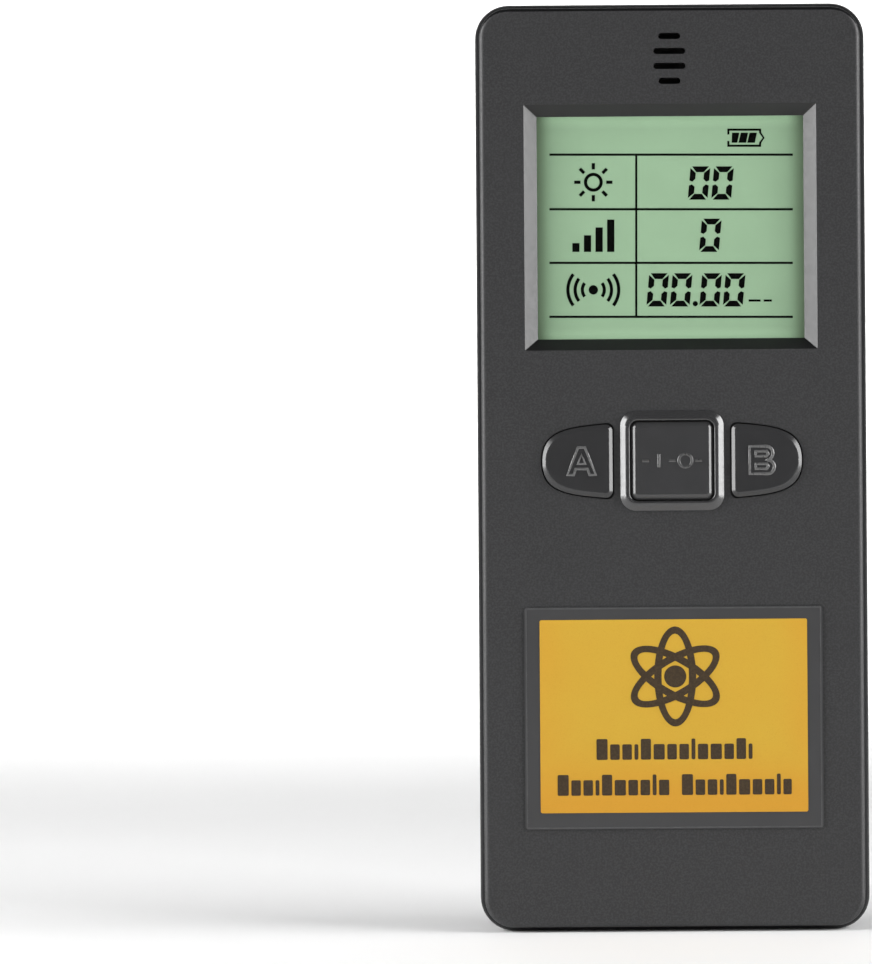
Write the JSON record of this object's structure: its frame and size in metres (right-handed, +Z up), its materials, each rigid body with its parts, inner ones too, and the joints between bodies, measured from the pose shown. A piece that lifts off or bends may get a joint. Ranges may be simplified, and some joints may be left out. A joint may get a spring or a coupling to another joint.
{
  "type": "geiger counter",
  "caption": "Hand-held geiger counter with a square display, push keys, a front label and a U-shaped stand that folds flush into the back.",
  "frame": {"origin": "middle of the flat bottom end, centred on the case with its keys", "axes": "+Z up the case towards the sound slots, -Y out of the display, +X to the right as the display is read"},
  "size_m": [0.062, 0.026, 0.1475],
  "materials": {
    "case_plastic": "satin, fine moulded grain",
    "stand_plastic": "satin, fine moulded grain",
    "door_plastic": "satin, fine moulded grain",
    "key_plastic": "semi-gloss, smooth",
    "window_clear": "clear, polished",
    "display_green": "reflective green display",
    "reflector_foil": "satin foil",
    "holder_plastic": "matt",
    "strip_rubber": "matt, fine stripes",
    "label_border": "smooth film",
    "label_yellow": "printed, satin",
    "switch_plastic": "matt",
    "plunger_plastic": "matt",
    "board_green": "solder mask",
    "steel": "zinc plated",
    "black_steel": "black oxide",
    "nickel": "nickel plated",
    "cell_jacket": "plain foil jacket with a copper coloured band",
    "lead_red": "satin insulation",
    "lead_black": "satin insulation",
    "tube_glass": "glass with a thin metal film",
    "brass": "bright",
    "ferrite": "matt ferrite",
    "copper_winding": "enamelled copper wire",
    "capacitor_blue": "dipped",
    "component_dark": "moulded",
    "buzzer_black": "moulded",
    "felt_black": "felt"
  },
  "bodies": {
    "housing": {"front_shell": "case_plastic", "rear_cover": "case_plastic", "hinge_pins": "steel", "lcd_window": "window_clear", "lcd_panel": "display_green", "lcd_reflector": "reflector_foil", "lcd_holder": "holder_plastic", "zebra_strips": "strip_rubber", "label_plate": "label_border", "label_print": "label_yellow", "switch_body_a": "switch_plastic", "switch_body_power": "switch_plastic", "switch_body_b": "switch_plastic", "main_board": "board_green", "board_screws": "steel", "case_screws": "black_steel", "battery_cell_1": "cell_jacket", "battery_cell_2": "cell_jacket", "battery_cell_3": "cell_jacket", "contact_plates": "nickel", "contact_springs": "nickel", "red_lead": "lead_red", "black_lead": "lead_black", "geiger_tube": "tube_glass", "tube_caps": "nickel", "tube_clips": "brass", "transformer_core": "ferrite", "transformer_winding": "copper_winding", "multiplier_capacitors": "capacitor_blue", "small_parts": "component_dark", "controller_chip": "component_dark", "buzzer": "buzzer_black", "buzzer_felt": "felt_black", "uv_sensor": "nickel", "uv_window": "window_clear"},
    "stand": {"kickstand": "stand_plastic"},
    "key_a_body": {"key_a": "key_plastic", "switch_plunger_a": "plunger_plastic"},
    "key_power_body": {"key_power": "key_plastic", "switch_plunger_power": "plunger_plastic"},
    "key_b_body": {"key_b": "key_plastic", "switch_plunger_b": "plunger_plastic"},
    "door": {"battery_door": "door_plastic"}
  },
  "joints": [
    {"name": "stand_hinge", "type": "hinge", "parent": "housing", "child": "stand", "pos_m": [0, 0.01035, 0.059], "axis": [1, 0, 0], "range_deg": [0, 35]},
    {"name": "key_a_press", "type": "slide", "parent": "housing", "child": "key_a_body", "axis": [0, 1, 0], "range_m": [0, 0.0006], "stiffness_N_per_m": 400, "springref_m": -0.001},
    {"name": "key_power_press", "type": "slide", "parent": "housing", "child": "key_power_body", "axis": [0, 1, 0], "range_m": [0, 0.0006], "stiffness_N_per_m": 400, "springref_m": -0.001},
    {"name": "key_b_press", "type": "slide", "parent": "housing", "child": "key_b_body", "axis": [0, 1, 0], "range_m": [0, 0.0006], "stiffness_N_per_m": 400, "springref_m": -0.001},
    {"name": "door_lift", "type": "slide", "parent": "housing", "child": "door", "axis": [0, 1, 0], "range_m": [0, 0.012]}
  ]
}
